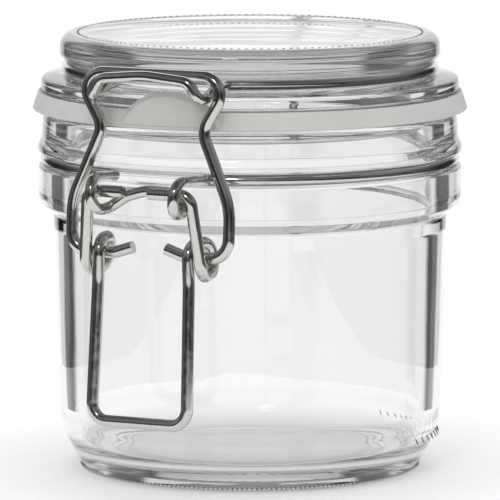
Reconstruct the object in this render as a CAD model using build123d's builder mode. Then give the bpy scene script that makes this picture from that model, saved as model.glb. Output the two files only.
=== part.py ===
"""Lidded glass canister: a squat clear glass jar closed by a hinged glass lid, a rubber
ring and an over-centre wire bail.

Frame: millimetres, +Z up. The jar's axis is Z and the jar stands on z = 0. The bail is at
the front, on -Y, and the hinge is at the back, on +Y.
"""
import os

from build123d import *

os.makedirs("parts", exist_ok=True)

# ---- driving dimensions -------------------------------------------------------------------

# Glass jar
BODY_RADIUS = 44.0            # outside of the body just under the shoulder
BAND_RADIUS = 47.25           # thick band below the neck groove
RIM_HEIGHT = 80.8             # top of the mouth
MOUTH_RADIUS = 40.8           # inside of the mouth
FLOOR_HEIGHT = 5.2            # inside floor
BASE_INNER_RADIUS = 31.0      # the jar rests on a ring between these two radii
BASE_OUTER_RADIUS = 36.9

# Glass lid
LID_TOP = 98.1
LID_RADIUS = 42.45            # slab above the groove
FLANGE_RADIUS = 46.65
FLANGE_BOTTOM = 85.0
PLUG_BOTTOM = 77.0            # ring that drops into the mouth

# Rubber ring
GASKET_BOTTOM = 80.92
GASKET_TOP = 84.95
GASKET_BORE_RADIUS = 41.2
GASKET_TOP_RADIUS = 47.3
GASKET_BOTTOM_RADIUS = 48.6
TAB_OUTER_RADIUS = 48.55      # pull tab, a curved tongue on the outside of the flange
TAB_INNER_RADIUS = 46.85
TAB_LEFT = -8.8
TAB_RIGHT = 15.1
TAB_TOP = 89.2
TAB_BEVEL = 1.1

# Wire diameters
NECK_WIRE = 2.5
LID_WIRE = 2.4
LOOP_WIRE = 2.65
LEVER_WIRE = 2.7
GROOVE_CLEARANCE = 0.15       # between a wire and the glass groove it lies in

# Where the two groove wires run
NECK_RING_RADIUS = 45.6
NECK_RING_HEIGHT = 70.0
LID_RING_RADIUS = 41.0
LID_RING_HEIGHT = 90.3

# Pivots of the bail, as (reach out from the axis of the jar, height)
LEVER_PIVOT = (55.8, 67.9)
LOOP_PIVOT = (50.6, 53.85)
LOOP_TOP = (48.4, 92.95)

# Eyes of the neck wire that hold the lever, and coils of the lever that hold the loop
NECK_EYE = (55.5, 67.35)
NECK_EYE_RADIUS = 3.65
LEVER_COIL = (50.35, 53.4)
LEVER_COIL_RADIUS = 3.5
LEVER_COIL_DEPTH = 8.7        # out from the jar; the coil is a little deeper than it is high

# Hinge at the back, as (distance behind the axis of the jar, height)
HINGE = (56.2, 87.5)
HINGE_EYE_RADIUS = 2.8

# A wire bends round a coil in four corners, each a hair smaller than the coil itself
CORNER_SHARE = 0.97


def front(x, reach, height):
    """A point on the bail side, given by its reach out from the axis of the jar."""
    return (x, -reach, height)


def flipped(points):
    """The same points on the other side of the middle plane."""
    return [(-x, y, z) for x, y, z in points]


def backwards(values):
    """The same points or radii, last one first."""
    return list(reversed(values))


def ring_end(ring_radius, half_gap, side):
    """Where a groove wire stops beside a gap; side is -1 at the front and +1 at the back."""
    return (half_gap, side * (ring_radius**2 - half_gap**2) ** 0.5)


def ring_corner(ring_radius, half_gap, side, run):
    """The corner that lies on the tangent from the end of the groove wire."""
    x, y = ring_end(ring_radius, half_gap, side)
    return (x - run * abs(y) / ring_radius, y + side * run * x / ring_radius)


# ---- glass jar -----------------------------------------------------------------------------

neck_groove_half = NECK_WIRE / 2 + GROOVE_CLEARANCE
neck_groove_floor = NECK_RING_RADIUS - neck_groove_half
jar_outline = [
    # (radius, height, rounding)
    (0.0, 1.5, 0.0),
    (27.0, 1.1, 8.0),
    (BASE_INNER_RADIUS, 0.0, 2.0),
    (BASE_OUTER_RADIUS, 0.0, 2.5),
    (38.9, 2.6, 5.0),
    (42.3, 9.5, 10.0),
    (43.3, 28.0, 150.0),
    (BODY_RADIUS, 57.9, 1.4),
    (46.75, 60.0, 0.6),
    (BAND_RADIUS, 61.5, 1.4),
    (BAND_RADIUS, NECK_RING_HEIGHT - neck_groove_half, 0.7),
    (neck_groove_floor, NECK_RING_HEIGHT - neck_groove_half, neck_groove_half * CORNER_SHARE),
    (neck_groove_floor, NECK_RING_HEIGHT + neck_groove_half, neck_groove_half * CORNER_SHARE),
    (47.35, NECK_RING_HEIGHT + neck_groove_half, 0.6),
    (47.35, 72.9, 1.0),
    (46.6, 74.5, 2.0),
    (46.1, RIM_HEIGHT, 1.7),
    (MOUTH_RADIUS, RIM_HEIGHT, 1.7),
    (MOUTH_RADIUS, 59.5, 8.0),
    (40.0, 54.0, 8.0),
    (39.3, 13.0, 20.0),
    (38.0, 5.0, 6.5),
    (30.0, 5.0, 30.0),
    (0.0, FLOOR_HEIGHT, 0.0),
]

with BuildPart() as jar_body:
    with BuildSketch(Plane.XZ):
        with BuildLine():
            FilletPolyline(
                [(r, z) for r, z, _ in jar_outline],
                radius=[rounding for _, _, rounding in jar_outline],
                close=True,
            )
        make_face()
    revolve(axis=Axis.Z)
jar_body.part.label = "jar_body"
export_step(jar_body.part, "parts/jar_body.step")

# ---- glass lid -----------------------------------------------------------------------------

lid_groove_half = LID_WIRE / 2 + GROOVE_CLEARANCE
lid_groove_floor = LID_RING_RADIUS - lid_groove_half
lid_outline = [
    # (radius, height, rounding)
    (0.0, 97.1, 0.0),
    (31.5, 97.1, 20.0),
    (38.2, LID_TOP, 3.0),
    (LID_RADIUS, LID_TOP, 2.9),
    (LID_RADIUS, 92.9, 1.7),
    (40.9, LID_RING_HEIGHT + lid_groove_half, 0.3),
    (lid_groove_floor, LID_RING_HEIGHT + lid_groove_half, lid_groove_half * 0.9),
    (lid_groove_floor, LID_RING_HEIGHT - lid_groove_half, lid_groove_half * CORNER_SHARE),
    (42.4, LID_RING_HEIGHT - lid_groove_half - 0.15, 0.4),
    (FLANGE_RADIUS, 88.0, 1.0),
    (FLANGE_RADIUS, FLANGE_BOTTOM, 0.8),
    (40.3, FLANGE_BOTTOM, 0.5),
    (39.9, PLUG_BOTTOM, 1.6),
    (36.4, PLUG_BOTTOM, 1.6),
    (35.6, 90.6, 4.0),
    (0.0, 91.6, 0.0),
]

with BuildPart() as lid:
    with BuildSketch(Plane.XZ):
        with BuildLine():
            FilletPolyline(
                [(r, z) for r, z, _ in lid_outline],
                radius=[rounding for _, _, rounding in lid_outline],
                close=True,
            )
        make_face()
    revolve(axis=Axis.Z)
lid.part.label = "lid"
export_step(lid.part, "parts/lid.step")

# ---- rubber ring with its pull tab -----------------------------------------------------------

tab_middle = (TAB_LEFT + TAB_RIGHT) / 2
tab_foot = GASKET_BOTTOM + 0.9
tab_spring = tab_foot + 0.9

with BuildPart() as gasket:
    # tongue: a slice of a tube, cut to an arch and bevelled along the arch
    with BuildSketch(Plane.XZ):
        with BuildLine():
            Polyline(
                (TAB_INNER_RADIUS, tab_foot),
                (TAB_OUTER_RADIUS, tab_foot),
                (TAB_OUTER_RADIUS, TAB_TOP + 1),
                (TAB_INNER_RADIUS, TAB_TOP + 1),
                close=True,
            )
        make_face()
    revolve(axis=Axis.Z)
    with BuildSketch(Plane.XZ):
        with BuildLine():
            ThreePointArc((TAB_LEFT, tab_spring), (tab_middle, TAB_TOP), (TAB_RIGHT, tab_spring))
            Polyline(
                (TAB_RIGHT, tab_spring),
                (TAB_RIGHT, tab_foot),
                (TAB_LEFT, tab_foot),
                (TAB_LEFT, tab_spring),
            )
        make_face()
    extrude(amount=TAB_OUTER_RADIUS + 1, mode=Mode.INTERSECT)
    arch_edge = gasket.edges().filter_by(lambda e: e.center().Z > TAB_TOP - 4)
    arch_edge = arch_edge.sort_by(Axis.Y)[0]
    chamfer(arch_edge, length=TAB_BEVEL)
    # the ring itself, wider at its foot
    with BuildSketch(Plane.XZ):
        with BuildLine():
            FilletPolyline(
                (GASKET_BORE_RADIUS, GASKET_BOTTOM),
                (GASKET_BOTTOM_RADIUS, GASKET_BOTTOM),
                (GASKET_TOP_RADIUS, GASKET_TOP),
                (GASKET_BORE_RADIUS, GASKET_TOP),
                radius=0.35,
                close=True,
            )
        make_face()
    revolve(axis=Axis.Z)
gasket.part.label = "gasket"
export_step(gasket.part, "parts/gasket.step")

# ---- neck wire -------------------------------------------------------------------------------
# One wire: hinge eye, upright, round the right side of the neck, out to the right bail eye,
# across the front as a bridge, through the left bail eye and back round the left side.

NECK_FRONT_GAP = 14.5         # half the opening of the ring at the front, and at the back
NECK_REAR_GAP = 15.6

eye_out = NECK_EYE[0] + NECK_EYE_RADIUS
eye_in = NECK_EYE[0] - NECK_EYE_RADIUS
eye_top = NECK_EYE[1] + NECK_EYE_RADIUS
eye_bottom = NECK_EYE[1] - NECK_EYE_RADIUS
eye_bend = NECK_EYE_RADIUS * CORNER_SHARE
hinge_near = HINGE[0] - HINGE_EYE_RADIUS
hinge_far = HINGE[0] + HINGE_EYE_RADIUS
hinge_top = HINGE[1] + HINGE_EYE_RADIUS
hinge_bottom = HINGE[1] - HINGE_EYE_RADIUS
hinge_bend = HINGE_EYE_RADIUS * CORNER_SHARE

rear_end = ring_end(NECK_RING_RADIUS, NECK_REAR_GAP, 1)
rear_corner = ring_corner(NECK_RING_RADIUS, NECK_REAR_GAP, 1, 3.7)
front_end = ring_end(NECK_RING_RADIUS, NECK_FRONT_GAP, -1)
front_corner = ring_corner(NECK_RING_RADIUS, NECK_FRONT_GAP, -1, 3.6)

neck_upright = [
    (*rear_end, NECK_RING_HEIGHT),
    (*rear_corner, NECK_RING_HEIGHT),
    (12.0, hinge_near, NECK_RING_HEIGHT + 0.3),
    (12.2, hinge_near, hinge_top),
    (12.9, hinge_far, hinge_top),
    (13.6, hinge_far, hinge_bottom),
    (14.3, HINGE[0] - 1.0, hinge_bottom),
]
neck_upright_bends = [2.4, 2.6, hinge_bend, hinge_bend, hinge_bend]

neck_bridge = [
    (-front_end[0], front_end[1], NECK_RING_HEIGHT),
    (-front_corner[0], front_corner[1], NECK_RING_HEIGHT),
    front(-10.2, eye_out, eye_top),
    front(-9.6, eye_out, eye_bottom),
    front(-7.8, 54.2, 64.2),
    front(-4.4, 53.0, 66.7),
    front(0.0, 52.4, 68.0),
    front(5.0, 52.2, 67.9),
    front(8.5, eye_in, 67.3),
    front(9.0, eye_in, eye_bottom),
    front(9.6, eye_out, eye_bottom),
    front(10.2, eye_out, eye_top),
    (*front_corner, NECK_RING_HEIGHT),
    (*front_end, NECK_RING_HEIGHT),
]
neck_bridge_bends = [
    2.6, eye_bend, eye_bend * 0.9, 2.6, 5.0, 8.0, 4.0, 1.9, eye_bend * 0.5, eye_bend, eye_bend,
    2.6,
]

with BuildPart() as neck_wire:
    with BuildLine() as neck_path:
        FilletPolyline(backwards(flipped(neck_upright)), radius=backwards(neck_upright_bends))
        ThreePointArc(
            (-rear_end[0], rear_end[1], NECK_RING_HEIGHT),
            (-NECK_RING_RADIUS, 0, NECK_RING_HEIGHT),
            (-front_end[0], front_end[1], NECK_RING_HEIGHT),
        )
        FilletPolyline(neck_bridge, radius=neck_bridge_bends)
        ThreePointArc(
            (*front_end, NECK_RING_HEIGHT),
            (NECK_RING_RADIUS, 0, NECK_RING_HEIGHT),
            (*rear_end, NECK_RING_HEIGHT),
        )
        FilletPolyline(neck_upright, radius=neck_upright_bends)
    with BuildSketch(Plane(origin=neck_path.line @ 0, z_dir=neck_path.line % 0)):
        Circle(NECK_WIRE / 2)
    sweep(path=neck_path.line)
neck_wire.part.label = "neck_wire"
export_step(neck_wire.part, "parts/neck_wire.step")

# ---- lid wire --------------------------------------------------------------------------------
# One wire: hinge pin, arm, round the lid's groove, out to the keeper bar at the front and back
# round the other side to the second arm and hinge pin.

LID_FRONT_GAP = 15.9
LID_REAR_GAP = 11.6

lid_rear_end = ring_end(LID_RING_RADIUS, LID_REAR_GAP, 1)
lid_rear_corner = ring_corner(LID_RING_RADIUS, LID_REAR_GAP, 1, 3.2)
lid_front_end = ring_end(LID_RING_RADIUS, LID_FRONT_GAP, -1)
lid_front_corner = ring_corner(LID_RING_RADIUS, LID_FRONT_GAP, -1, 3.5)

lid_arm = [
    (*lid_rear_end, LID_RING_HEIGHT),
    (*lid_rear_corner, LID_RING_HEIGHT),
    (8.3, HINGE[0] - 3.6, LID_RING_HEIGHT - 0.3),
    (8.3, HINGE[0], HINGE[1]),
    (16.8, HINGE[0], HINGE[1]),
]
lid_arm_bends = [2.2, 3.0, 1.9]

keeper_half = [
    (*lid_front_end, LID_RING_HEIGHT),
    (*lid_front_corner, LID_RING_HEIGHT),
    front(12.9, 45.6, 89.5),
    front(12.9, 48.5, 88.3),
    front(12.9, 52.7, 88.25),
    front(10.6, 53.1, 92.1),
]
keeper_middle = front(0.0, 53.3, 93.1)
keeper_half_bends = [2.4, 6.0, 5.0, 1.7, 3.0]

with BuildPart() as lid_wire:
    with BuildLine() as lid_wire_path:
        FilletPolyline(backwards(flipped(lid_arm)), radius=backwards(lid_arm_bends))
        ThreePointArc(
            (-lid_rear_end[0], lid_rear_end[1], LID_RING_HEIGHT),
            (-LID_RING_RADIUS, 0, LID_RING_HEIGHT),
            (-lid_front_end[0], lid_front_end[1], LID_RING_HEIGHT),
        )
        FilletPolyline(
            flipped(keeper_half) + [keeper_middle] + backwards(keeper_half),
            radius=keeper_half_bends + [20.0] + backwards(keeper_half_bends),
        )
        ThreePointArc(
            (*lid_front_end, LID_RING_HEIGHT),
            (LID_RING_RADIUS, 0, LID_RING_HEIGHT),
            (*lid_rear_end, LID_RING_HEIGHT),
        )
        FilletPolyline(lid_arm, radius=lid_arm_bends)
    with BuildSketch(Plane(origin=lid_wire_path.line @ 0, z_dir=lid_wire_path.line % 0)):
        Circle(LID_WIRE / 2)
    sweep(path=lid_wire_path.line)
lid_wire.part.label = "lid_wire"
export_step(lid_wire.part, "parts/lid_wire.step")

# ---- locking loop ----------------------------------------------------------------------------
# A flat hoop with a narrow waist. Its ends turn inwards through the coils of the lever.

loop_lean = (LOOP_TOP[0] - LOOP_PIVOT[0]) / (LOOP_TOP[1] - LOOP_PIVOT[1])


def on_loop(x, height):
    """A point in the plane of the loop."""
    return front(x, LOOP_PIVOT[0] + loop_lean * (height - LOOP_PIVOT[1]), height)


loop_half = [
    on_loop(4.0, LOOP_PIVOT[1] + 1.5),
    on_loop(8.6, LOOP_PIVOT[1]),
    on_loop(18.9, LOOP_PIVOT[1]),
    on_loop(19.0, 65.0),
    on_loop(11.95, 81.2),
    on_loop(19.0, LOOP_TOP[1]),
]
loop_half_bends = [5.0, 4.2, 16.0, 5.0, 4.0]

with BuildPart() as locking_loop:
    with BuildLine() as loop_path:
        FilletPolyline(
            flipped(loop_half) + backwards(loop_half),
            radius=loop_half_bends + backwards(loop_half_bends),
        )
    with BuildSketch(Plane(origin=loop_path.line @ 0, z_dir=loop_path.line % 0)):
        Circle(LOOP_WIRE / 2)
    sweep(path=loop_path.line)
locking_loop.part.label = "locking_loop"
export_step(locking_loop.part, "parts/locking_loop.step")

# ---- lever -----------------------------------------------------------------------------------
# Pivot ends through the eyes of the neck wire, short links, one coil on each side for the
# ends of the loop, and a long handle below.

coil_out = LEVER_COIL[0] + LEVER_COIL_RADIUS
coil_in = coil_out - LEVER_COIL_DEPTH
coil_top = LEVER_COIL[1] + LEVER_COIL_RADIUS
coil_bottom = LEVER_COIL[1] - LEVER_COIL_RADIUS
coil_bend = LEVER_COIL_RADIUS * CORNER_SHARE

lever_half = [
    front(12.3, *LEVER_PIVOT),
    front(13.9, coil_out, coil_bottom + 2.2),
    front(13.5, coil_out - 2.2, coil_bottom),
    front(13.0, coil_in, coil_bottom),
    front(12.1, coil_in, coil_top),
    front(10.7, coil_out, coil_top),
    front(10.95, 53.6, 48.0),
    front(11.5, 55.9, 17.6),
]
lever_half_bends = [2.6, 3.0, 3.0, coil_bend, coil_bend, coil_bend, 20.0, 3.7]
left_stub = front(-3.8, *LEVER_PIVOT)
right_stub = front(2.5, *LEVER_PIVOT)

with BuildPart() as lever:
    with BuildLine() as lever_path:
        FilletPolyline(
            [left_stub] + flipped(lever_half) + backwards(lever_half) + [right_stub],
            radius=lever_half_bends + backwards(lever_half_bends),
        )
    with BuildSketch(Plane(origin=lever_path.line @ 0, z_dir=lever_path.line % 0)):
        Circle(LEVER_WIRE / 2)
    sweep(path=lever_path.line)
lever.part.label = "lever"
export_step(lever.part, "parts/lever.step")
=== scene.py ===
"""Lidded glass canister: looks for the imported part, laid out as a Blender add-on.

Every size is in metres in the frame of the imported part: +Z is the axis of the jar, -Y the side
of the bail and +Y the side of the hinge. Outlines of the glass are given in millimetres.
"""
import math

import bmesh
import bpy
from bpy.props import FloatProperty, FloatVectorProperty, IntProperty, PointerProperty
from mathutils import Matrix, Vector


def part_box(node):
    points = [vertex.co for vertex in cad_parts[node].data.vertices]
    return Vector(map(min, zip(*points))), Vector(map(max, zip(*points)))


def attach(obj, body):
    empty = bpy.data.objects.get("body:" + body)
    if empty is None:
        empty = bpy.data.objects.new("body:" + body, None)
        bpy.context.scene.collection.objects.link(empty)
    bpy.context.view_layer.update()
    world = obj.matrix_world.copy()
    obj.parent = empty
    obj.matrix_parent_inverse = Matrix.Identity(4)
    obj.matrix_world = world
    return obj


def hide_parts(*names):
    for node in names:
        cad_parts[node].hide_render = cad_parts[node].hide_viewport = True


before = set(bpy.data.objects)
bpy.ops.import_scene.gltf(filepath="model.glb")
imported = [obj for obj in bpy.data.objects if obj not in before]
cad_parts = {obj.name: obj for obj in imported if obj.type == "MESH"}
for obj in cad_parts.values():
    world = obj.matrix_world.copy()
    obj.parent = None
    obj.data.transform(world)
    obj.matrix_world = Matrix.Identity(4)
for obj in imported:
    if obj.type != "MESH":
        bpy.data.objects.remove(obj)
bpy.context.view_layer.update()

bl_info = {
    "name": "Lidded glass canister",
    "version": (1, 0, 0),
    "blender": (4, 5, 0),
    "location": "3D View > Sidebar > Canister",
    "description": "Builds the glass, rubber and wire of a lidded canister with a wire bail",
    "category": "Add Mesh",
}

MM = 0.001

JAR_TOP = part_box("jar_body")[1].z
LID_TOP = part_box("lid")[1].z


def linear(code):
    """An sRGB hex colour as linear red, green and blue."""
    parts = [int(code[i : i + 2], 16) / 255 for i in (0, 2, 4)]
    return tuple(p / 12.92 if p <= 0.04045 else ((p + 0.055) / 1.055) ** 2.4 for p in parts)


def add_node(tree, kind, inputs=None, **settings):
    """Adds a node to a tree with its settings, and fills its inputs with values or links."""
    node = tree.nodes.new(kind)
    for name, value in settings.items():
        setattr(node, name, value)
    for key, value in (inputs or {}).items():
        if isinstance(value, bpy.types.NodeSocket):
            tree.links.new(value, node.inputs[key])
        else:
            node.inputs[key].default_value = value
    return node


# ---- sizes and colours -----------------------------------------------------------------------


class CanisterGlass(bpy.types.PropertyGroup):
    """Sizes of the jar and the lid."""

    body_radius: FloatProperty(
        name="Body radius", description="Outside of the body just under the shoulder",
        default=44.0 * MM, min=0.02, unit="LENGTH", precision=5,
    )
    band_radius: FloatProperty(
        name="Band radius", description="Outside of the thick band below the neck groove",
        default=47.25 * MM, min=0.02, unit="LENGTH", precision=5,
    )
    rim_height: FloatProperty(
        name="Rim height", description="Top of the mouth of the jar",
        default=JAR_TOP, min=0.02, unit="LENGTH", precision=5,
    )
    mouth_radius: FloatProperty(
        name="Mouth radius", description="Inside of the mouth",
        default=40.8 * MM, min=0.01, unit="LENGTH", precision=5,
    )
    floor_height: FloatProperty(
        name="Inside floor", description="Height of the inside floor over the table",
        default=5.2 * MM, min=0.001, unit="LENGTH", precision=5,
    )
    lid_top: FloatProperty(
        name="Lid top", description="Height of the crest round the top of the lid",
        default=LID_TOP - 0.16 * MM, min=0.02, unit="LENGTH", precision=5,
    )
    lid_radius: FloatProperty(
        name="Lid radius", description="Radius of the rounded slab of the lid",
        default=42.45 * MM, min=0.01, unit="LENGTH", precision=5,
    )
    flange_radius: FloatProperty(
        name="Flange radius", description="Radius of the flange that presses on the rubber",
        default=46.65 * MM, min=0.01, unit="LENGTH", precision=5,
    )
    facets: IntProperty(
        name="Facets", description="Number of facets round the glass", default=256, min=32,
    )
    colour: FloatVectorProperty(
        name="Glass colour", description="Tint of the clear glass", subtype="COLOR", size=3,
        default=linear("FBFCFC"), min=0, max=1,
    )


class CanisterMarks(bpy.types.PropertyGroup):
    """Small moulded marks: dashes on the lid, ribs on the heel and a knurl at the base."""

    dash_count: IntProperty(
        name="Dashes", description="Number of raised dashes round the lid", default=148, min=3,
    )
    dash_radius: FloatProperty(
        name="Dash ring radius", description="Radius of the ring of dashes",
        default=38.45 * MM, min=0.001, unit="LENGTH", precision=5,
    )
    dash_size: FloatVectorProperty(
        name="Dash size", description="Width, length and height of one dash",
        default=(0.42 * MM, 0.75 * MM, 0.3 * MM), unit="LENGTH", precision=5,
    )
    rib_count: IntProperty(
        name="Heel ribs", description="Number of slanted ribs on the heel", default=17, min=1,
    )
    rib_size: FloatVectorProperty(
        name="Heel rib size", description="Width, height and depth of one rib",
        default=(0.38 * MM, 2.2 * MM, 0.34 * MM), unit="LENGTH", precision=5,
    )
    knurl_count: IntProperty(
        name="Base knurl", description="Number of teeth in the knurl round the base",
        default=220, min=3,
    )
    knurl_size: FloatVectorProperty(
        name="Knurl tooth size", description="Width, length and height of one tooth",
        default=(0.3 * MM, 1.0 * MM, 0.24 * MM), unit="LENGTH", precision=5,
    )
    seed: IntProperty(
        name="Seed", description="Fixed seed for the small differences between marks", default=7,
    )


class CanisterFinishes(bpy.types.PropertyGroup):
    """Colours of the rubber and the wire."""

    rubber_light: FloatVectorProperty(
        name="Rubber", description="Colour of the rubber ring", subtype="COLOR", size=3,
        default=linear("C3C3C1"), min=0, max=1,
    )
    rubber_dark: FloatVectorProperty(
        name="Rubber mottle", description="Darker clouding in the rubber", subtype="COLOR",
        size=3, default=linear("B5B5B2"), min=0, max=1,
    )
    steel: FloatVectorProperty(
        name="Steel", description="Colour of the drawn wire", subtype="COLOR", size=3,
        default=linear("CBCAC7"), min=0, max=1,
    )
    steel_tarnish: FloatVectorProperty(
        name="Die mark", description="Darker steel in the drawing marks", subtype="COLOR",
        size=3, default=linear("8F8E8B"), min=0, max=1,
    )


class CanisterStage(bpy.types.PropertyGroup):
    """Camera, floor and light."""

    azimuth: FloatProperty(
        name="Azimuth", description="How far the camera stands to the right of the bail",
        default=math.radians(25.5), subtype="ANGLE",
    )
    elevation: FloatProperty(
        name="Elevation", description="How far the camera looks down",
        default=math.radians(7.72), subtype="ANGLE",
    )
    distance: FloatProperty(
        name="Distance", description="From the camera to the middle of the canister",
        default=1.4, min=0.2, unit="LENGTH",
    )
    aim_height: FloatProperty(
        name="Aim height", description="Height of the point that the camera looks at",
        default=48.7 * MM, unit="LENGTH", precision=5,
    )
    lens: FloatProperty(
        name="Lens", description="Focal length on a 36 mm sensor, in millimetres",
        default=449.6, min=10,
    )
    floor_radius: FloatProperty(
        name="Floor", description="Half the length of the pale oval table", default=0.42, min=0.1,
        unit="LENGTH",
    )
    floor_side: FloatProperty(
        name="Floor side", description="How far the table reaches to each side", default=0.2,
        min=0.05, unit="LENGTH",
    )
    floor_behind: FloatProperty(
        name="Floor behind", description="How far the table reaches behind the canister",
        default=0.17, min=0.05, unit="LENGTH",
    )
    floor_colour: FloatVectorProperty(
        name="Floor colour", description="Colour of the floor", subtype="COLOR", size=3,
        default=linear("CFCFCF"), min=0, max=1,
    )


# ---- materials -------------------------------------------------------------------------------

GLASS_IOR = 1.52
GLASS_LOSS_COLOUR = (0.4, 0.405, 0.4, 1)
GLASS_LOSS_DENSITY = 9.0
RUBBER_IOR = 1.52

# widths of the features in the skins
GLASS_WAVE = 16 * MM
GLASS_PEEL = 3 * MM
MOULD_GRIT = 0.1 * MM
RUBBER_CLOUD = 9 * MM
RUBBER_GRAIN = 0.35 * MM
WIRE_SCORE = 0.5 * MM
WIRE_SPOT = 1.6 * MM


def new_material(name):
    """A new procedural material with its tree, its shader and its object coordinates."""
    material = bpy.data.materials.new(name)
    material.use_nodes = True
    tree = material.node_tree
    tree.nodes.clear()
    shader = add_node(tree, "ShaderNodeBsdfPrincipled")
    add_node(tree, "ShaderNodeOutputMaterial", {"Surface": shader.outputs["BSDF"]})
    place = add_node(tree, "ShaderNodeTexCoord").outputs["Object"]
    return material, tree, shader, place


def noise(tree, place, width, detail, **inputs):
    """Noise with features about as wide as given."""
    return add_node(
        tree, "ShaderNodeTexNoise",
        {"Vector": place, "Scale": 1 / width, "Detail": detail, **inputs},
    ).outputs["Fac"]


def map_range(tree, value, **ends):
    """A value carried from one range to another; the ends left out are 0 and 1."""
    limits = {name.replace("_", " ").title(): end for name, end in ends.items()}
    return add_node(tree, "ShaderNodeMapRange", {"Value": value, **limits}).outputs["Result"]


def blend(tree, share, first, second):
    """Two plain colours mixed by a share."""
    mix = add_node(
        tree, "ShaderNodeMix", {"Factor": share, "A": (*first, 1), "B": (*second, 1)},
        data_type="RGBA",
    )
    return next(socket for socket in mix.outputs if socket.type == "RGBA")


def clear_glass(settings):
    """Pressed soda-lime glass, fire polished: no colour, sharp reflections, and a faint wave
    left by the plunger that bends what is seen through the wall."""
    material = bpy.data.materials.get("pressed_soda_lime_glass")
    if material:
        return material
    material, tree, shader, place = new_material("pressed_soda_lime_glass")
    shader.inputs["Base Color"].default_value = (*settings.colour, 1)
    shader.inputs["Transmission Weight"].default_value = 1.0
    shader.inputs["Roughness"].default_value = 0.0
    shader.inputs["IOR"].default_value = GLASS_IOR
    # plunger waves, stretched along the draw of the mould
    stretched = add_node(tree, "ShaderNodeMapping", {"Vector": place, "Scale": (1, 1, 0.45)})
    waves = noise(tree, stretched.outputs["Vector"], GLASS_WAVE, 1.5, Roughness=0.4)
    # orange peel
    peel = noise(tree, place, GLASS_PEEL, 1.0)
    first = add_node(
        tree, "ShaderNodeBump", {"Height": waves, "Strength": 0.35, "Distance": 0.22 * MM}
    )
    second = add_node(
        tree, "ShaderNodeBump",
        {"Height": peel, "Normal": first.outputs["Normal"], "Strength": 0.2,
         "Distance": 0.01 * MM},
    )
    tree.links.new(second.outputs["Normal"], shader.inputs["Normal"])
    # a little light is lost inside the glass, which shows on the long way through the lid
    loss = add_node(
        tree, "ShaderNodeVolumeAbsorption",
        {"Color": GLASS_LOSS_COLOUR, "Density": GLASS_LOSS_DENSITY},
    )
    output = next(node for node in tree.nodes if node.type == "OUTPUT_MATERIAL")
    tree.links.new(loss.outputs["Volume"], output.inputs["Volume"])
    return material


def mark_glass():
    """Glass of the small raised marks: struck by the mould, so its skin is frosted. It is tinted
    grey, a painted shade that makes it read darker than the clear wall round it."""
    material, tree, shader, place = new_material("frosted_mark_glass_painted_shade")
    # painted shade: the grey tint darkens what shows through the marks, in place of the dark they
    # get by bending light
    shader.inputs["Base Color"].default_value = (*linear("8C8C8C"), 1)
    shader.inputs["Transmission Weight"].default_value = 0.75
    shader.inputs["IOR"].default_value = GLASS_IOR
    grit = noise(tree, place, MOULD_GRIT, 1.0)
    rough = map_range(tree, grit, to_min=0.15, to_max=0.4)
    tree.links.new(rough, shader.inputs["Roughness"])
    return material


def grey_rubber(settings):
    """Moulded natural rubber filled with chalk: matt, light grey, slightly clouded, with the
    fine grain of a blasted mould and a little light passing through."""
    material, tree, shader, place = new_material("moulded_natural_rubber")
    clouds = noise(tree, place, RUBBER_CLOUD, 3.0)
    colour = blend(tree, clouds, settings.rubber_light, settings.rubber_dark)
    tree.links.new(colour, shader.inputs["Base Color"])
    grain = noise(tree, place, RUBBER_GRAIN, 2.0)
    rough = map_range(tree, grain, from_min=0.3, from_max=0.7, to_min=0.5, to_max=0.68)
    tree.links.new(rough, shader.inputs["Roughness"])
    bump = add_node(
        tree, "ShaderNodeBump", {"Height": grain, "Strength": 0.5, "Distance": 0.03 * MM}
    )
    tree.links.new(bump.outputs["Normal"], shader.inputs["Normal"])
    shader.inputs["IOR"].default_value = RUBBER_IOR
    shader.inputs["Subsurface Weight"].default_value = 0.15
    shader.inputs["Subsurface Radius"].default_value = (1.2, 1.1, 1.0)
    shader.inputs["Subsurface Scale"].default_value = 1.0 * MM
    return material


def drawn_steel(settings, name, stretch):
    """Stainless steel wire drawn through a die: bright, with faint long scores along the draw and
    small dull spots scattered along it."""
    material, tree, shader, place = new_material(name)
    shader.inputs["Metallic"].default_value = 1.0
    # the scores are drawn out along the wire's main run
    along = add_node(tree, "ShaderNodeMapping", {"Vector": place, "Scale": stretch})
    scores = noise(tree, along.outputs["Vector"], WIRE_SCORE, 3.0, Roughness=0.6)
    spots = noise(tree, place, WIRE_SPOT, 4.0)
    share = map_range(tree, scores, from_min=0.56, from_max=0.75, to_max=0.55)
    colour = blend(tree, share, settings.steel, settings.steel_tarnish)
    tree.links.new(colour, shader.inputs["Base Color"])
    rough = map_range(tree, spots, from_min=0.35, from_max=0.7, to_min=0.1, to_max=0.2)
    tree.links.new(rough, shader.inputs["Roughness"])
    bump = add_node(
        tree, "ShaderNodeBump", {"Height": scores, "Strength": 0.35, "Distance": 0.012 * MM}
    )
    tree.links.new(bump.outputs["Normal"], shader.inputs["Normal"])
    return material


# ---- glass -----------------------------------------------------------------------------------

# the most that one step of a rounded corner turns, in radians, and runs, in millimetres
STEP_TURN = math.radians(7)
STEP_RUN = 2.5


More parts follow.
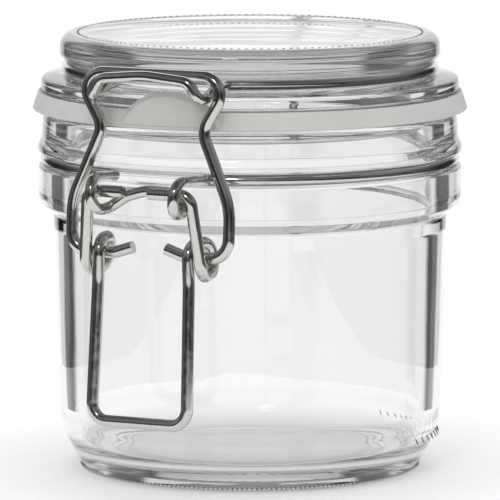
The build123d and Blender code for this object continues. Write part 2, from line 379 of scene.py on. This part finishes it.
def rounded(outline):
    """Points and headings along an outline with its corners rounded. Each corner is given as
    radius, height and rounding, and the outline starts and ends on the axis."""
    corners = [Vector(corner[:2]) for corner in outline]
    line = [(corners[0], (corners[1] - corners[0]).normalized())]
    sizes = [corner[2] for corner in outline[1:-1]]
    for before, here, after, size in zip(corners, corners[1:], corners[2:], sizes):
        into, out = (here - before).normalized(), (after - here).normalized()
        turn = into.angle_signed(out)
        reach = size * math.tan(abs(turn) / 2)
        side = Vector((-into.y, into.x)) * (-1 if turn > 0 else 1)
        centre = here - into * reach + side * size
        run = size * abs(turn)
        steps = max(2, math.ceil(abs(turn) / STEP_TURN), math.ceil(run / STEP_RUN))
        spoke = -side * size
        for step in range(steps + 1):
            angle = turn * step / steps
            c, s = math.cos(-angle), math.sin(-angle)
            moved = Vector((spoke.x * c - spoke.y * s, spoke.x * s + spoke.y * c))
            heading = Vector((into.x * c - into.y * s, into.x * s + into.y * c))
            line.append((centre + moved, heading))
    line.append((corners[-1], (corners[-1] - corners[-2]).normalized()))
    return line


def lathe(name, outline, facets):
    """A closed body turned about the jar's axis from an outline, with exact smooth normals."""
    line = rounded(outline)
    verts, normals, faces = [], [], []
    for index, (point, heading) in enumerate(line):
        outward = Vector((heading.y, -heading.x))
        pole = index in (0, len(line) - 1)
        for facet in range(1 if pole else facets):
            angle = 2 * math.pi * facet / facets
            c, s = math.cos(angle), math.sin(angle)
            verts.append((point.x * c * MM, point.x * s * MM, point.y * MM))
            normals.append(
                (0, 0, math.copysign(1, outward.y)) if pole
                else (outward.x * c, outward.x * s, outward.y)
            )
    last = len(verts) - 1
    for ring in range(len(line) - 3):
        low, high = 1 + ring * facets, 1 + (ring + 1) * facets
        for facet in range(facets):
            after = (facet + 1) % facets
            faces.append((low + facet, low + after, high + after, high + facet))
    top = 1 + (len(line) - 3) * facets
    for facet in range(facets):
        after = (facet + 1) % facets
        faces.append((0, 1 + after, 1 + facet))
        faces.append((last, top + facet, top + after))
    mesh = bpy.data.meshes.new(name)
    mesh.from_pydata(verts, [], faces)
    mesh.polygons.foreach_set("use_smooth", [True] * len(mesh.polygons))
    mesh.update()
    mesh.normals_split_custom_set_from_vertices(normals)
    piece = bpy.data.objects.new(name, mesh)
    bpy.context.scene.collection.objects.link(piece)
    return piece


# millimetres: the middle of each wire groove, half its height, and the radius of its floor
NECK_GROOVE_HEIGHT = 70.0
NECK_GROOVE_HALF = 1.4
NECK_GROOVE_FLOOR = 44.2
LID_GROOVE_HEIGHT = 90.3
LID_GROOVE_HALF = 1.35
LID_GROOVE_FLOOR = 39.65


def jar_outline(glass):
    """Outline of the jar in millimetres, from the middle of the base outwards and up."""
    band, rim = glass.band_radius / MM, glass.rim_height / MM
    mouth, inside = glass.mouth_radius / MM, glass.floor_height / MM
    groove_low = NECK_GROOVE_HEIGHT - NECK_GROOVE_HALF
    groove_high = NECK_GROOVE_HEIGHT + NECK_GROOVE_HALF
    return [
        (0.0, 1.5, 0.0),
        (27.0, 1.1, 8.0),
        (31.0, 0.0, 2.0),
        (36.9, 0.0, 2.5),
        (38.9, 2.6, 5.0),
        (42.3, 9.5, 10.0),
        (43.3, 28.0, 150.0),
        (glass.body_radius / MM, 57.9, 1.4),
        (46.75, 60.0, 0.6),
        (band, 61.5, 1.4),
        (band, groove_low, 0.7),
        (NECK_GROOVE_FLOOR, groove_low, 1.36),
        (NECK_GROOVE_FLOOR, groove_high, 1.36),
        (band + 0.1, groove_high, 0.6),
        (band + 0.1, 72.9, 1.0),
        (46.6, 74.5, 2.0),
        (46.1, rim, 1.7),
        (mouth, rim, 1.7),
        (mouth, 59.5, 8.0),
        (40.0, 54.0, 8.0),
        (39.3, 13.0, 20.0),
        (38.0, inside - 0.2, 6.5),
        (30.0, inside - 0.2, 30.0),
        (0.0, inside, 0.0),
    ]


def lid_outline(glass):
    """Outline of the lid in millimetres, from the middle of its underside outwards and up."""
    top, slab, flange = glass.lid_top / MM, glass.lid_radius / MM, glass.flange_radius / MM
    groove_low = LID_GROOVE_HEIGHT - LID_GROOVE_HALF
    groove_high = LID_GROOVE_HEIGHT + LID_GROOVE_HALF
    return [
        (0.0, 91.6, 0.0),
        (35.6, 90.6, 4.0),
        (36.4, 77.0, 1.6),
        (39.9, 77.0, 1.6),
        (40.3, 85.0, 0.5),
        (flange, 85.0, 0.8),
        (flange, 88.0, 1.0),
        (42.4, groove_low - 0.15, 0.4),
        (LID_GROOVE_FLOOR, groove_low, 1.31),
        (LID_GROOVE_FLOOR, groove_high, 1.2),
        (40.9, groove_high, 0.3),
        (slab, 92.9, 1.7),
        (slab, top, 2.9),
        (38.2, top, 3.0),
        (31.5, top - 1.0, 20.0),
        (0.0, top - 1.0, 0.0),
    ]


class CANISTER_OT_jar_glass(bpy.types.Operator):
    """Turns the glass jar and gives it its glass"""

    bl_idname = "canister.jar_glass"
    bl_label = "Jar glass"

    def execute(self, context):
        glass = context.scene.canister_glass
        piece = lathe("jar_glass", jar_outline(glass), glass.facets)
        piece.data.materials.append(clear_glass(glass))
        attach(piece, "jar")
        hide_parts("jar_body")
        return {"FINISHED"}


class CANISTER_OT_lid_glass(bpy.types.Operator):
    """Turns the glass lid and gives it its glass"""

    bl_idname = "canister.lid_glass"
    bl_label = "Lid glass"

    def execute(self, context):
        glass = context.scene.canister_glass
        piece = lathe("lid_glass", lid_outline(glass), glass.facets)
        piece.data.materials.append(clear_glass(glass))
        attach(piece, "lid")
        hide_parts("lid")
        return {"FINISHED"}


# ---- moulded marks ---------------------------------------------------------------------------

RIB_RADIUS = 42.05 * MM
RIB_HEIGHT = 8.6 * MM
RIB_START = math.radians(-3.0)
RIB_STEP = math.radians(4.3)
RIB_TILT = (math.radians(62), 0, math.radians(90))
KNURL_RADIUS = 37.75 * MM
KNURL_HEIGHT = 0.95 * MM
KNURL_TILT = (math.radians(40), 0, math.radians(90))
# smallest and largest share of its size that a mark may have
MARK_LEAST = (0.85, 0.8, 0.9)
MARK_MOST = (1.1, 1.1, 1.0)


def mark_ring_tree():
    """Geometry Nodes: small domes spaced along a ring or a part of it, each laid on the glass by
    a tilt that is given for a mark on +X."""
    tree = bpy.data.node_groups.get("mark_ring") or bpy.data.node_groups.new(
        "mark_ring", "GeometryNodeTree"
    )
    if tree.nodes:
        return tree
    for name, kind in (
        ("Count", "Int"), ("Radius", "Float"), ("Height", "Float"), ("Start", "Float"),
        ("Step", "Float"), ("Mark Size", "Vector"), ("Tilt", "Rotation"), ("Seed", "Int"),
        ("Material", "Material"),
    ):
        tree.interface.new_socket(name, in_out="INPUT", socket_type="NodeSocket" + kind)
    tree.interface.new_socket("Geometry", in_out="OUTPUT", socket_type="NodeSocketGeometry")
    given = add_node(tree, "NodeGroupInput").outputs
    points = add_node(tree, "GeometryNodeMeshLine", {"Count": given["Count"]})
    order = add_node(tree, "GeometryNodeInputIndex")
    angle = add_node(
        tree, "ShaderNodeMath",
        {0: order.outputs["Index"], 1: given["Step"], 2: given["Start"]},
        operation="MULTIPLY_ADD",
    )
    spin = add_node(tree, "ShaderNodeCombineXYZ", {"Z": angle.outputs["Value"]})
    on_x = add_node(tree, "ShaderNodeCombineXYZ", {"X": given["Radius"], "Z": given["Height"]})
    place = add_node(
        tree, "ShaderNodeVectorRotate",
        {"Vector": on_x.outputs["Vector"], "Angle": angle.outputs["Value"]},
        rotation_type="Z_AXIS",
    )
    placed = add_node(
        tree, "GeometryNodeSetPosition",
        {"Geometry": points.outputs["Mesh"], "Position": place.outputs["Vector"]},
    )
    dome = add_node(
        tree, "GeometryNodeMeshUVSphere", {"Segments": 8, "Rings": 4, "Radius": 0.5}
    )
    turn = add_node(tree, "FunctionNodeEulerToRotation", {"Euler": spin.outputs["Vector"]})
    turned = add_node(
        tree, "FunctionNodeRotateRotation",
        {"Rotation": given["Tilt"], "Rotate By": turn.outputs["Rotation"]},
        rotation_space="GLOBAL",
    )
    vary = add_node(
        tree, "FunctionNodeRandomValue",
        {"Min": MARK_LEAST, "Max": MARK_MOST, "Seed": given["Seed"]},
        data_type="FLOAT_VECTOR",
    )
    size = add_node(
        tree, "ShaderNodeVectorMath",
        {0: given["Mark Size"], 1: vary.outputs["Value"]}, operation="MULTIPLY",
    )
    marks = add_node(
        tree, "GeometryNodeInstanceOnPoints",
        {"Points": placed.outputs["Geometry"], "Instance": dome.outputs["Mesh"],
         "Rotation": turned.outputs["Rotation"], "Scale": size.outputs["Vector"]},
    )
    real = add_node(
        tree, "GeometryNodeRealizeInstances", {"Geometry": marks.outputs["Instances"]}
    )
    smooth = add_node(
        tree, "GeometryNodeSetShadeSmooth", {"Geometry": real.outputs["Geometry"]}
    )
    painted = add_node(
        tree, "GeometryNodeSetMaterial",
        {"Geometry": smooth.outputs["Geometry"], "Material": given["Material"]},
    )
    add_node(tree, "NodeGroupOutput", {"Geometry": painted.outputs["Geometry"]})
    return tree


def grow(name, tree, values):
    """A plain mesh object made by a Geometry Nodes tree from named input values."""
    maker = bpy.data.objects.new(name + "_maker", bpy.data.meshes.new(name + "_maker"))
    bpy.context.scene.collection.objects.link(maker)
    modifier = maker.modifiers.new("marks", "NODES")
    modifier.node_group = tree
    for item in tree.interface.items_tree:
        if item.item_type == "SOCKET" and item.in_out == "INPUT":
            modifier[item.identifier] = values[item.name]
    bpy.context.view_layer.update()
    evaluated = maker.evaluated_get(bpy.context.evaluated_depsgraph_get())
    mesh = bpy.data.meshes.new_from_object(evaluated)
    maker.modifiers.remove(modifier)
    bpy.data.objects.remove(maker)
    mesh.name = name
    piece = bpy.data.objects.new(name, mesh)
    bpy.context.scene.collection.objects.link(piece)
    return piece


class CANISTER_OT_lid_dashes(bpy.types.Operator):
    """Raises the ring of small dashes round the crest of the lid"""

    bl_idname = "canister.lid_dashes"
    bl_label = "Lid dashes"

    def execute(self, context):
        marks, glass = context.scene.canister_marks, context.scene.canister_glass
        piece = grow("lid_dashes", mark_ring_tree(), {
            "Count": marks.dash_count, "Radius": marks.dash_radius, "Height": glass.lid_top,
            "Start": 0.0, "Step": 2 * math.pi / marks.dash_count,
            "Mark Size": marks.dash_size, "Tilt": (0, 0, 0), "Seed": marks.seed,
            "Material": mark_glass(),
        })
        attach(piece, "lid")
        return {"FINISHED"}


class CANISTER_OT_heel_marks(bpy.types.Operator):
    """Raises the slanted ribs on the heel of the jar and the knurl round its base"""

    bl_idname = "canister.heel_marks"
    bl_label = "Heel ribs and base knurl"

    def execute(self, context):
        marks = context.scene.canister_marks
        frosted = mark_glass()
        ribs = {
            "Count": marks.rib_count, "Radius": RIB_RADIUS, "Height": RIB_HEIGHT,
            "Start": RIB_START, "Step": RIB_STEP,
            "Mark Size": marks.rib_size, "Tilt": RIB_TILT,
            "Seed": marks.seed, "Material": frosted,
        }
        knurl = {
            "Count": marks.knurl_count, "Radius": KNURL_RADIUS, "Height": KNURL_HEIGHT,
            "Start": 0.0, "Step": 2 * math.pi / marks.knurl_count,
            "Mark Size": marks.knurl_size, "Tilt": KNURL_TILT,
            "Seed": marks.seed + 1, "Material": frosted,
        }
        for name, values in (("heel_ribs", ribs), ("base_knurl", knurl)):
            piece = grow(name, mark_ring_tree(), values)
            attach(piece, "jar")
        return {"FINISHED"}


# ---- rubber and wire -------------------------------------------------------------------------

JOIN_DISTANCE = 0.002 * MM
RUBBER_CREASE = math.radians(25)
WIRE_CREASE = math.radians(35)
# how the drawing scores are stretched on upright wires and on wires that lie level
UPRIGHT_SCORES = (1, 1, 0.04)
LEVEL_SCORES = (0.12, 0.12, 1)


def merged_copy(name, node, crease):
    """A copy of a CAD node with its triangles joined, shaded smooth up to the crease angle."""
    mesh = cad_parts[node].data.copy()
    mesh.name = name
    mesh.materials.clear()
    body = bmesh.new()
    body.from_mesh(mesh)
    bmesh.ops.remove_doubles(body, verts=body.verts, dist=JOIN_DISTANCE)
    for face in body.faces:
        face.smooth = True
    for edge in body.edges:
        edge.smooth = len(edge.link_faces) == 2 and edge.calc_face_angle(0) < crease
    body.to_mesh(mesh)
    body.free()
    piece = bpy.data.objects.new(name, mesh)
    bpy.context.scene.collection.objects.link(piece)
    return piece


class CANISTER_OT_rubber_ring(bpy.types.Operator):
    """Lays the rubber ring with its pull tab"""

    bl_idname = "canister.rubber_ring"
    bl_label = "Rubber ring"

    def execute(self, context):
        piece = merged_copy("rubber_ring", "gasket", RUBBER_CREASE)
        piece.data.materials.append(grey_rubber(context.scene.canister_finishes))
        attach(piece, "lid")
        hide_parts("gasket")
        return {"FINISHED"}


class CANISTER_OT_bail_wires(bpy.types.Operator):
    """Copies the four wires of the bail and the hinge and gives them drawn steel"""

    bl_idname = "canister.bail_wires"
    bl_label = "Bail and hinge wires"

    def execute(self, context):
        finishes = context.scene.canister_finishes
        upright = drawn_steel(finishes, "drawn_stainless_wire_upright", UPRIGHT_SCORES)
        ring = drawn_steel(finishes, "drawn_stainless_wire_ring", LEVEL_SCORES)
        for name, node, body, steel in (
            ("neck_wire_steel", "neck_wire", "jar", ring),
            ("lid_wire_steel", "lid_wire", "lid", ring),
            ("locking_loop_steel", "locking_loop", "locking_loop", upright),
            ("lever_steel", "lever", "lever", upright),
        ):
            piece = merged_copy(name, node, WIRE_CREASE)
            piece.data.materials.append(steel)
            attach(piece, body)
            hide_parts(node)
        return {"FINISHED"}


# ---- stage -----------------------------------------------------------------------------------

# The world's zones, each as the two values between which it fades in or out. SIDE values are the
# sine of the angle off the middle, and UP and BACK values are parts of a unit direction.
CARD_SIDE_INNER = (0.41, 0.48)
CARD_SIDE_OUTER = (0.66, 0.74)
CEILING_UP = (0.25, 0.6)
PAPER_SIDE = (0.36, 0.5)
PAPER_BACK = (-0.02, 0.1)
PAPER_UP = (0.6, 0.85)
WALL_UP = (0.1, 0.45)
CROWN_UP = (0.5, 0.95)
PERSON_SIDE = (0.08, 0.3)
PERSON_BACK = (-0.3, 0.0)
WING_SIDE = (0.8, 0.97)
# how bright each zone is, against the paper
CARD_SHADE = 0.10
CEILING_SHADE = 0.3
FLOOR_SHADE, WALL_SHADE = 0.03, 0.2
CROWN_SHADE = 0.25
PERSON_SHADE = 0.10
WING_SHADE = 0.08
# how bright the world is through glass, and to everything but the camera
THROUGH_STRENGTH = 0.91
ROOM_STRENGTH = 1.06

FLOOR_SIDES = 96
FLOOR_ROUGHNESS = 0.9
FLOOR_GLOW = 0.34
OVERHEAD_PLACE = (0, 0, 1.3)
OVERHEAD_SIZE = 1.0
OVERHEAD_POWER = 3.0
# how far the front softbox stands towards the camera, to its left and over the table
SOFTBOX_NEAR, SOFTBOX_LEFT, SOFTBOX_HEIGHT = 1.1, 0.25, 0.95
SOFTBOX_AIM = (0, 0, 0.06)
SOFTBOX_SIZE = (0.22, 0.16)
SOFTBOX_POWER = 1.6
SENSOR_WIDTH = 36.0
# light runs a long way inside the lid before it comes out
MOST_BOUNCES = 28
GLOSSY_BOUNCES = 20


def studio_world(azimuth):
    """White paper for the camera and for matt surfaces. Through the glass the paper has a dark
    card on each side and a dim ceiling, and mirrored, it is only straight behind, with a dark
    room round it."""
    world = bpy.data.worlds.new("studio")
    world.use_nodes = True
    tree = world.node_tree
    tree.nodes.clear()

    def maths(operation, *values):
        return add_node(
            tree, "ShaderNodeMath", dict(enumerate(values)), operation=operation
        ).outputs["Value"]

    def ramp(value, fade, low, high):
        return add_node(
            tree, "ShaderNodeMapRange",
            {"Value": value, "From Min": fade[0], "From Max": fade[1],
             "To Min": low, "To Max": high},
            interpolation_type="SMOOTHSTEP",
        ).outputs["Result"]

    toward = add_node(tree, "ShaderNodeTexCoord").outputs["Generated"]
    # +Y of the turned direction points away from the camera
    turned = add_node(
        tree, "ShaderNodeVectorRotate", {"Vector": toward, "Angle": -azimuth},
        rotation_type="Z_AXIS",
    )
    side, back, up = add_node(
        tree, "ShaderNodeSeparateXYZ", {"Vector": turned.outputs["Vector"]}
    ).outputs
    level = maths(
        "SQRT", maths("ADD", maths("MULTIPLY", side, side), maths("MULTIPLY", back, back))
    )
    share = maths("DIVIDE", maths("ABSOLUTE", side), maths("MAXIMUM", level, 0.001))
    # seen through the glass: paper, but for a dark card on each side
    cards = maths(
        "MAXIMUM",
        ramp(share, CARD_SIDE_INNER, 1.0, CARD_SHADE),
        ramp(share, CARD_SIDE_OUTER, CARD_SHADE, 1.0),
    )
    through = maths("MULTIPLY", cards, ramp(up, CEILING_UP, 1.0, CEILING_SHADE))
    # mirrored: paper only straight behind, a dark room elsewhere
    ahead = maths(
        "MULTIPLY", ramp(share, PAPER_SIDE, 1.0, 0.0), ramp(back, PAPER_BACK, 0.0, 1.0)
    )
    lit = maths("MULTIPLY", ahead, ramp(up, PAPER_UP, 1.0, 0.0))
    walls = maths(
        "MULTIPLY",
        ramp(up, WALL_UP, FLOOR_SHADE, WALL_SHADE),
        ramp(up, CROWN_UP, 1.0, CROWN_SHADE),
    )
    person = maths(
        "MULTIPLY",
        ramp(share, PERSON_SIDE, PERSON_SHADE, 0.0),
        ramp(back, PERSON_BACK, 1.0, 0.0),
    )
    wings = ramp(share, WING_SIDE, 0.0, WING_SHADE)
    gloom = maths("ADD", walls, maths("ADD", person, wings))
    mirrored = maths("ADD", lit, gloom)

    ray = add_node(tree, "ShaderNodeLightPath").outputs
    is_through = ray["Is Transmission Ray"]
    passed = maths("MULTIPLY", maths("MULTIPLY", through, THROUGH_STRENGTH), is_through)
    shone = maths("MULTIPLY", mirrored, maths("SUBTRACT", 1.0, is_through))
    bright = maths("MAXIMUM", maths("ADD", passed, shone), ray["Is Diffuse Ray"])
    room = add_node(tree, "ShaderNodeBackground", {"Color": bright, "Strength": ROOM_STRENGTH})
    paper = add_node(tree, "ShaderNodeBackground", {"Color": (1, 1, 1, 1), "Strength": 1.0})
    mixed = add_node(
        tree, "ShaderNodeMixShader",
        {0: ray["Is Camera Ray"], 1: room.outputs["Background"], 2: paper.outputs["Background"]},
    )
    add_node(tree, "ShaderNodeOutputWorld", {"Surface": mixed.outputs["Shader"]})
    return world


def area_light(name, place, aim, width, height, power):
    """A rectangular soft light at one point, facing another."""
    light = bpy.data.lights.new(name, "AREA")
    light.shape, light.size, light.size_y, light.energy = "RECTANGLE", width, height, power
    lamp = bpy.data.objects.new(name, light)
    lamp.location = place
    lamp.rotation_euler = (Vector(aim) - Vector(place)).to_track_quat("-Z", "Y").to_euler()
    bpy.context.scene.collection.objects.link(lamp)
    return lamp


class CANISTER_OT_stage(bpy.types.Operator):
    """Sets the pale floor, the soft light and the camera"""

    bl_idname = "canister.stage"
    bl_label = "Stage"

    def execute(self, context):
        stage = context.scene.canister_stage
        flat = Vector((math.sin(stage.azimuth), -math.cos(stage.azimuth), 0))
        right = Vector((math.cos(stage.azimuth), math.sin(stage.azimuth), 0))
        mesh = bpy.data.meshes.new("floor")
        middle = flat * (stage.floor_radius - stage.floor_behind)
        angles = [2 * math.pi * i / FLOOR_SIDES for i in range(FLOOR_SIDES)]
        rim = [
            middle
            + flat * (stage.floor_radius * math.cos(angle))
            + right * (stage.floor_side * math.sin(angle))
            for angle in angles
        ]
        mesh.from_pydata(rim, [], [tuple(range(FLOOR_SIDES))])
        floor = bpy.data.objects.new("floor", mesh)
        context.scene.collection.objects.link(floor)
        # matt white card, lit so evenly that it has hardly any shade of its own
        card, _, shader, _ = new_material("white_card")
        shader.inputs["Roughness"].default_value = FLOOR_ROUGHNESS
        shader.inputs["Emission Color"].default_value = (1, 1, 1, 1)
        shader.inputs["Emission Strength"].default_value = FLOOR_GLOW
        shader.inputs["Base Color"].default_value = (*stage.floor_colour, 1)
        mesh.materials.append(card)

        context.scene.world = studio_world(stage.azimuth)
        overhead = area_light(
            "overhead", OVERHEAD_PLACE, (0, 0, 0), OVERHEAD_SIZE, OVERHEAD_SIZE, OVERHEAD_POWER
        )
        overhead.visible_glossy = overhead.visible_transmission = False
        beside = flat * SOFTBOX_NEAR - right * SOFTBOX_LEFT
        area_light(
            "front_softbox", beside + Vector((0, 0, SOFTBOX_HEIGHT)),
            SOFTBOX_AIM, *SOFTBOX_SIZE, SOFTBOX_POWER,
        )

        aim = Vector((0, 0, stage.aim_height))
        level = math.cos(stage.elevation)
        toward = flat * level + Vector((0, 0, math.sin(stage.elevation)))
        camera = bpy.data.objects.new("camera", bpy.data.cameras.new("camera"))
        camera.data.lens = stage.lens
        camera.data.sensor_width = SENSOR_WIDTH
        camera.location = aim + toward * stage.distance
        camera.rotation_euler = (-toward).to_track_quat("-Z", "Y").to_euler()
        context.scene.collection.objects.link(camera)
        context.scene.camera = camera
        context.scene.view_settings.view_transform = "Standard"
        cycles = context.scene.cycles
        cycles.max_bounces = cycles.transmission_bounces = MOST_BOUNCES
        cycles.glossy_bounces = GLOSSY_BOUNCES
        return {"FINISHED"}


# ---- panel and registration ------------------------------------------------------------------

GROUPS = {
    "canister_glass": CanisterGlass,
    "canister_marks": CanisterMarks,
    "canister_finishes": CanisterFinishes,
    "canister_stage": CanisterStage,
}
MAKERS = (
    CANISTER_OT_jar_glass,
    CANISTER_OT_lid_glass,
    CANISTER_OT_lid_dashes,
    CANISTER_OT_heel_marks,
    CANISTER_OT_rubber_ring,
    CANISTER_OT_bail_wires,
    CANISTER_OT_stage,
)


class CANISTER_PT_panel(bpy.types.Panel):
    """Sizes, colours and makers of the canister"""

    bl_idname = "CANISTER_PT_panel"
    bl_label = "Glass canister"
    bl_space_type = "VIEW_3D"
    bl_region_type = "UI"
    bl_category = "Canister"

    def draw(self, context):
        for maker in MAKERS:
            self.layout.operator(maker.bl_idname)
        for name, group in GROUPS.items():
            box = self.layout.box()
            box.label(text=name.replace("_", " ").capitalize())
            for prop in group.__annotations__:
                box.prop(getattr(context.scene, name), prop)


def register():
    """Registers every class and hangs the settings on the scene."""
    for cls in (*GROUPS.values(), *MAKERS, CANISTER_PT_panel):
        bpy.utils.register_class(cls)
    for name, group in GROUPS.items():
        setattr(bpy.types.Scene, name, PointerProperty(type=group))


def unregister():
    """Takes the settings off the scene and unregisters every class."""
    for name in GROUPS:
        delattr(bpy.types.Scene, name)
    for cls in reversed((*GROUPS.values(), *MAKERS, CANISTER_PT_panel)):
        bpy.utils.unregister_class(cls)


def main():
    """Builds the canister and its stage."""
    register()
    bpy.ops.canister.jar_glass()
    bpy.ops.canister.lid_glass()
    bpy.ops.canister.lid_dashes()
    bpy.ops.canister.heel_marks()
    bpy.ops.canister.rubber_ring()
    bpy.ops.canister.bail_wires()
    bpy.ops.canister.stage()


if __name__ == "__main__":
    main()
